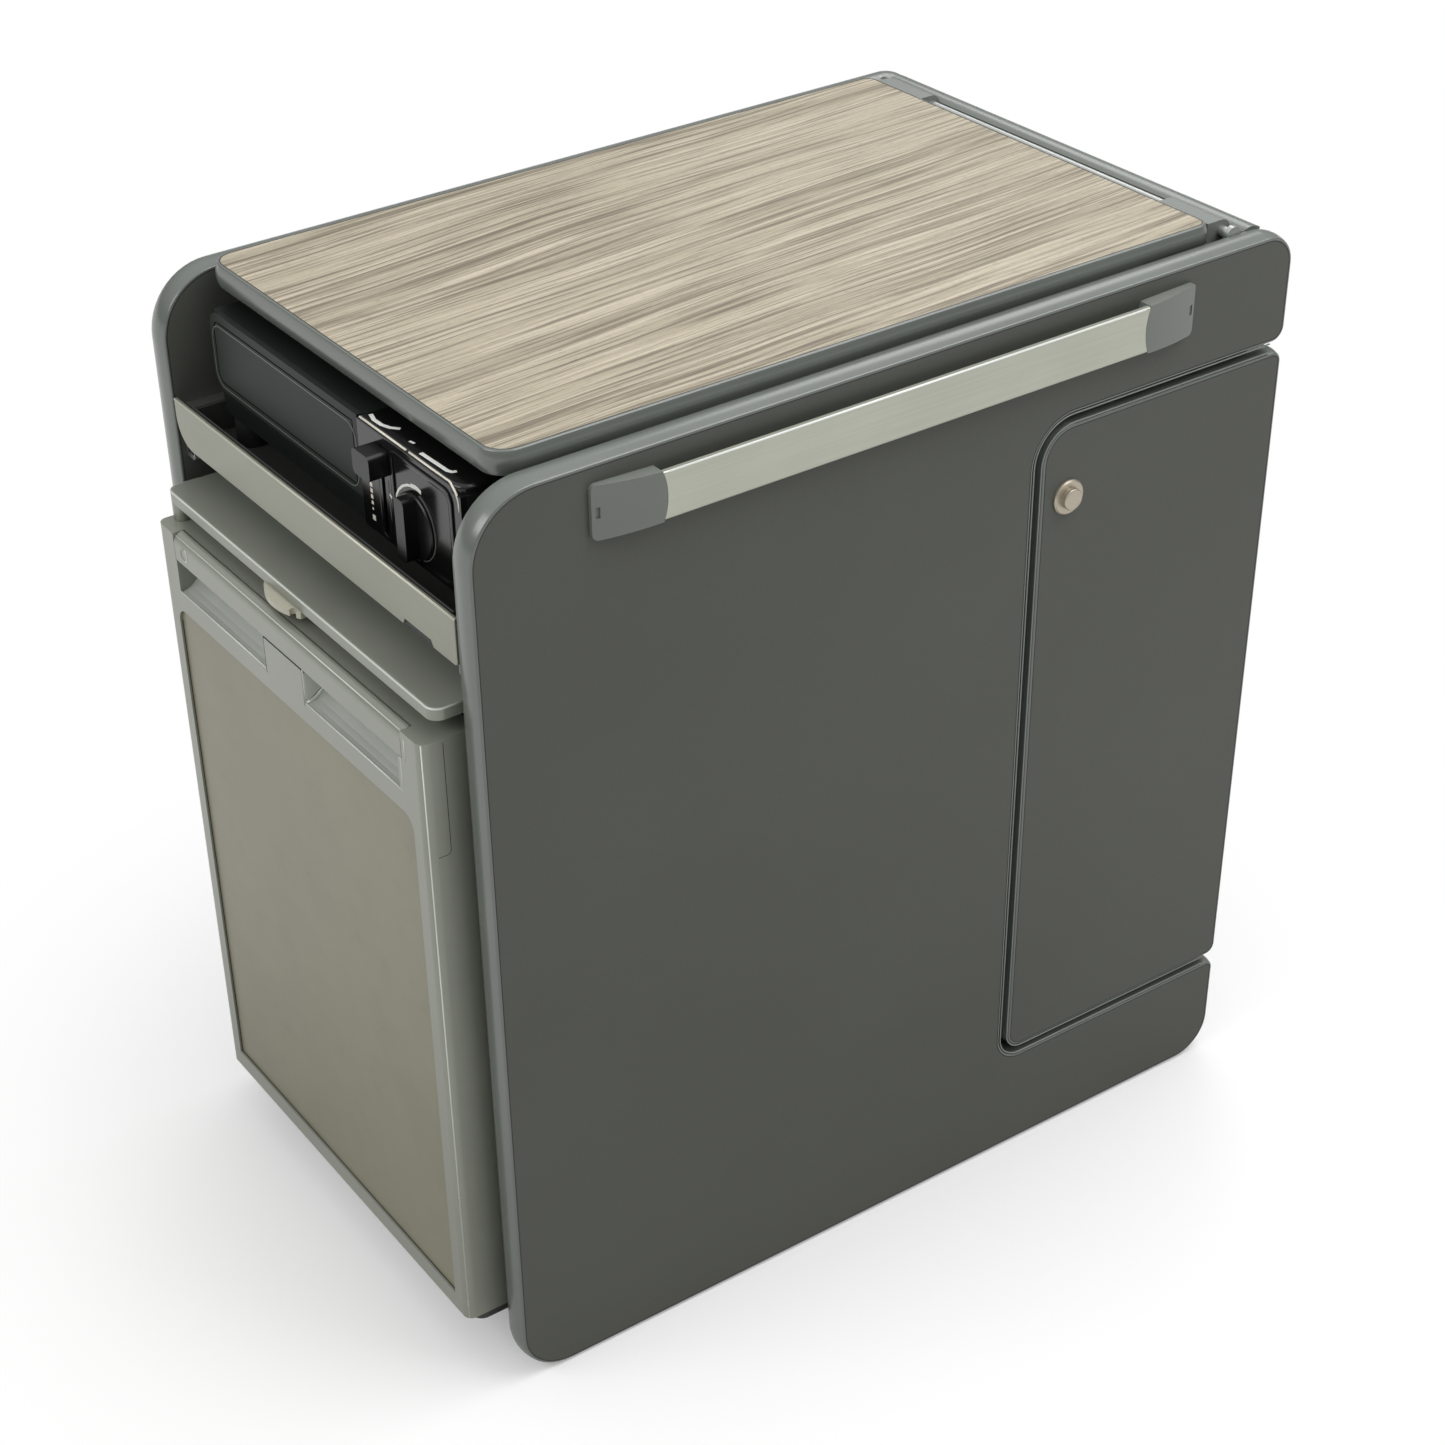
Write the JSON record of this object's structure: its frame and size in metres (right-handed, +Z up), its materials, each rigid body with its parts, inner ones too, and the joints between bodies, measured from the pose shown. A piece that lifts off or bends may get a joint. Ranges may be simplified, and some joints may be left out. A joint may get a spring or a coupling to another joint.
{
  "type": "campervan kitchen pod",
  "caption": "Compact camper kitchen unit with a hinged wood-grain lid, gas stove on a pull-out tray, small fridge and a rear cupboard with a side door.",
  "frame": {"origin": "floor level, midway between the side panels and between their front and rear edges", "axes": "+Z up, -Y to the front with the fridge door, +X to the side with the cupboard door"},
  "size_m": [0.448, 0.701, 0.7335],
  "materials": {
    "panel_laminate": "dark grey-green laminate, faintly mottled, matt",
    "edging": "grey satin edging, crowned",
    "carcass_board": "light plywood faced with dark grey laminate",
    "wood_laminate": "taupe wood-grain laminate, grain from front to back",
    "rail_aluminium": "champagne anodised, satin",
    "grey_moulded": "grey moulded plastic, satin",
    "hinge_steel": "zinc-plated steel",
    "bright_rod": "bright plated steel",
    "hinge_block": "dark grey nylon",
    "lock_nickel": "matt warm nickel",
    "tray_steel": "dark grey powder coat",
    "lip_aluminium": "champagne anodised, satin",
    "black_plastic": "black moulded plastic",
    "stove_enamel": "dark grey enamel, satin",
    "gloss_black": "gloss black plastic",
    "burner_alloy": "cast alloy, dull",
    "grate_steel": "black enamelled steel rod",
    "cartridge_steel": "plain painted steel can",
    "rubber": "black rubber",
    "fridge_steel": "dark grey coated steel",
    "fridge_body": "dark grey coated skin over light insulating foam",
    "liner_white": "white moulded plastic",
    "shelf_glass": "clear glass",
    "fridge_silver": "silver-grey metallic paint, satin",
    "pin_steel": "steel pin painted silver grey",
    "insert_bronze": "bronze-grey lacquered sheet, satin",
    "gasket_grey": "soft grey seal",
    "latch_tan": "tan moulded plastic",
    "freezer_aluminium": "bare aluminium sheet"
  },
  "bodies": {
    "carcass": {"near_side_panel": "panel_laminate", "near_panel_edging": "edging", "far_side_panel": "panel_laminate", "far_panel_edging": "edging", "rear_panel": "panel_laminate", "rear_panel_edging": "edging", "floor_board": "carcass_board", "floor_brackets": "hinge_steel", "cupboard_partition": "carcass_board", "cupboard_shelf": "carcass_board", "lid_battens": "carcass_board", "lid_hinge_rod": "bright_rod", "towel_rail_strip": "rail_aluminium", "towel_rail_caps": "grey_moulded", "cupboard_hinge_fixed_leaves": "hinge_steel", "cupboard_hinge_pins": "hinge_steel", "runner_fixed_members": "hinge_steel", "fridge_cabinet": "fridge_body", "fridge_liner": "liner_white", "fridge_shelves": "shelf_glass", "freezer_box": "freezer_aluminium", "fridge_compressor": "fridge_steel", "fridge_top_plate": "fridge_silver", "fridge_base_plate": "fridge_steel", "fridge_door_pins": "pin_steel"},
    "lid": {"lid_board": "carcass_board", "lid_laminate": "wood_laminate", "lid_edging": "edging", "lid_hinge_blocks": "hinge_block", "lid_hinge_screws": "hinge_steel"},
    "cupboard_door": {"cupboard_door": "panel_laminate", "cupboard_door_edging": "edging", "cupboard_hinge_moving_leaves": "hinge_steel", "lock_rosette": "lock_nickel", "lock_case": "hinge_steel"},
    "lock_button": {"lock_button": "lock_nickel"},
    "lock_bolt": {"lock_bolt": "hinge_steel"},
    "tray": {"runner_sliding_members": "hinge_steel", "stove_tray": "tray_steel", "stove_tray_lip": "lip_aluminium", "stove_tray_pull": "black_plastic", "stove_housing": "stove_enamel", "stove_front_panel": "stove_enamel", "stove_control_panel": "gloss_black", "stove_deck": "stove_enamel", "cartridge_cover": "gloss_black", "burner": "burner_alloy", "pan_support": "grate_steel", "gas_cartridge": "cartridge_steel", "gas_regulator": "burner_alloy", "stove_feet": "rubber"},
    "stove_knob": {"stove_knob": "black_plastic"},
    "cartridge_lever": {"cartridge_lever": "black_plastic"},
    "fridge_door": {"fridge_door_frame": "fridge_silver", "fridge_door_insert": "insert_bronze", "fridge_door_moulding": "fridge_silver", "fridge_door_liner": "liner_white", "fridge_door_gasket": "gasket_grey"},
    "fridge_handle": {"fridge_handle": "fridge_silver"},
    "vent_latch": {"fridge_vent_latch": "latch_tan"}
  },
  "joints": [
    {"name": "lid_hinge", "type": "hinge", "parent": "carcass", "child": "lid", "pos_m": [0, 0.2985, 0.722], "axis": [-1, 0, 0], "range_deg": [0, 100]},
    {"name": "cupboard_door_hinge", "type": "hinge", "parent": "carcass", "child": "cupboard_door", "pos_m": [0.1935, 0.327, 0.366], "axis": [0, 0, 1], "range_deg": [0, 105]},
    {"name": "lock_button_push", "type": "slide", "parent": "cupboard_door", "child": "lock_button", "axis": [-1, 0, 0], "range_m": [0, 0.004]},
    {"name": "lock_bolt_throw", "type": "slide", "parent": "cupboard_door", "child": "lock_bolt", "axis": [0, -1, 0], "range_m": [0, 0.012]},
    {"name": "tray_slide", "type": "slide", "parent": "carcass", "child": "tray", "axis": [0, -1, 0], "range_m": [0, 0.3]},
    {"name": "stove_knob_turn", "type": "hinge", "parent": "tray", "child": "stove_knob", "pos_m": [0.114, -0.3125, 0.659], "axis": [0, -1, 0], "range_deg": [0, 180]},
    {"name": "cartridge_lever_slide", "type": "slide", "parent": "tray", "child": "cartridge_lever", "axis": [0, 0, -1], "range_m": [0, 0.034]},
    {"name": "fridge_door_hinge", "type": "hinge", "parent": "carcass", "child": "fridge_door", "pos_m": [-0.1805, -0.3465, 0.3], "axis": [0, 0, -1], "range_deg": [0, 110]},
    {"name": "fridge_handle_tilt", "type": "hinge", "parent": "fridge_door", "child": "fridge_handle", "pos_m": [0, -0.3585, 0.545], "axis": [-1, 0, 0], "range_deg": [0, 12], "stiffness_Nm_per_rad": 0.4},
    {"name": "vent_latch_swing", "type": "hinge", "parent": "carcass", "child": "vent_latch", "pos_m": [-0.033, -0.339, 0.5615], "axis": [0, 0, -1], "range_deg": [0, 25]}
  ],
  "couplings": [
    {"joint": "lock_bolt_throw", "follows": "lock_button_push", "ratio": 3}
  ]
}
